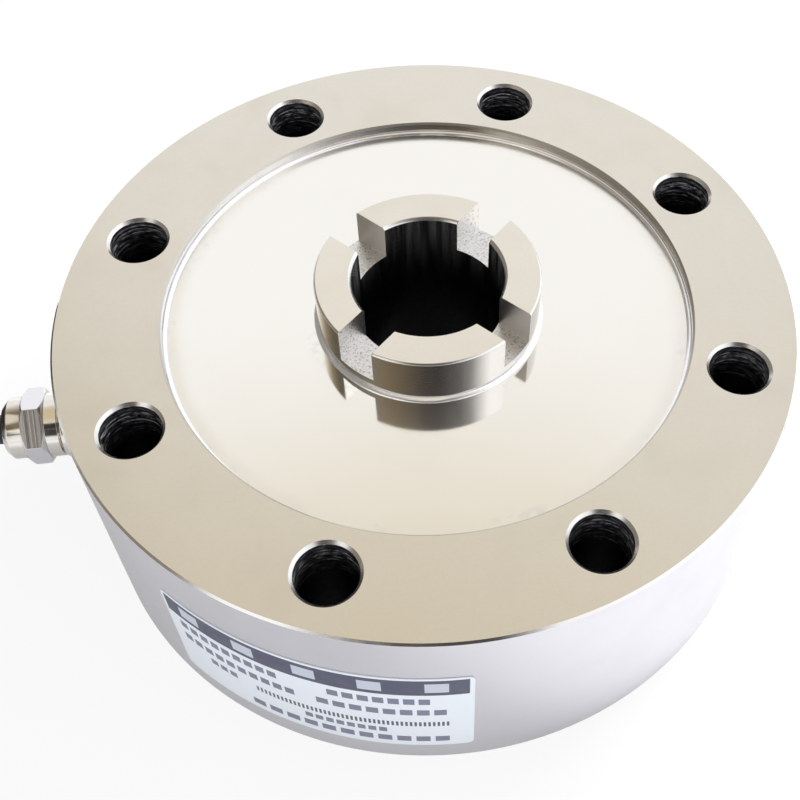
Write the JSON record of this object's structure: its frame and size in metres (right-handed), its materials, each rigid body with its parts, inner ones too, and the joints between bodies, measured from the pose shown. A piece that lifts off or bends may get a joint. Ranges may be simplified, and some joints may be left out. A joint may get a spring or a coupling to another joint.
{
  "type": "pancake load cell",
  "caption": "Low round force transducer: drilled rim and slotted centre hub joined by strain-gauged spokes, closed by welded covers, with a side cable gland and coiled lead.",
  "frame": {"origin": "centre of the bolt circle on the rim's rest face", "axes": "+Z along the load axis and the hub's bore, up to the loading face; -X along the cable gland, away from the cell"},
  "size_m": [0.2085, 0.1183, 0.044],
  "materials": {
    "machined_steel": "turned and nickel plated, satin top face, smooth wall",
    "cover_steel": "thin stainless sheet, nearly mirror bright",
    "weld_metal": "bright uneven weld bead",
    "gauge_film": "amber polyimide film with foil grid",
    "terminal_metal": "copper pads on thin laminate, tinned",
    "lead_insulation": "thin insulated lead wire",
    "board_laminate": "green glass-fibre laminate",
    "resistor_body": "lacquered resistor body",
    "plated_brass": "nickel plated brass, turned and bright",
    "seal_rubber": "black nitrile rubber",
    "washer_nylon": "natural nylon",
    "cable_jacket": "black flexible sheath, satin",
    "core_red": "red core insulation",
    "core_black": "black core insulation",
    "core_green": "green core insulation",
    "core_white": "white core insulation",
    "label_film": "matt white polyester label, nothing written on it",
    "tie_nylon": "black nylon",
    "tinned_cores": "four coloured cores with tinned ends and a bare screen wire"
  },
  "bodies": {
    "root": {"spring_element": "machined_steel", "top_cover": "cover_steel", "bottom_cover": "cover_steel", "top_rim_weld": "weld_metal", "top_hub_weld": "weld_metal", "bottom_rim_weld": "weld_metal", "bottom_hub_weld": "weld_metal", "strain_gauge_1a": "gauge_film", "strain_gauge_2a": "gauge_film", "strain_gauge_3a": "gauge_film", "strain_gauge_4a": "gauge_film", "strain_gauge_1b": "gauge_film", "strain_gauge_2b": "gauge_film", "strain_gauge_3b": "gauge_film", "strain_gauge_4b": "gauge_film", "solder_terminals_1": "terminal_metal", "solder_terminals_2": "terminal_metal", "solder_terminals_3": "terminal_metal", "solder_terminals_4": "terminal_metal", "gauge_leads_1": "lead_insulation", "gauge_leads_2": "lead_insulation", "gauge_leads_3": "lead_insulation", "gauge_leads_4": "lead_insulation", "bridge_board": "board_laminate", "zero_resistor": "resistor_body", "span_resistor": "resistor_body", "temperature_resistor": "resistor_body", "gland_body": "plated_brass", "gland_nut": "plated_brass", "gland_seal": "seal_rubber", "thrust_washer": "washer_nylon", "sealing_washer": "seal_rubber", "inner_cable": "cable_jacket", "core_red": "core_red", "core_black": "core_black", "core_green": "core_green", "core_white": "core_white", "label": "label_film", "cable": "cable_jacket", "cable_coil": "cable_jacket", "cable_tie": "tie_nylon", "cable_cores": "tinned_cores"}
  },
  "joints": []
}
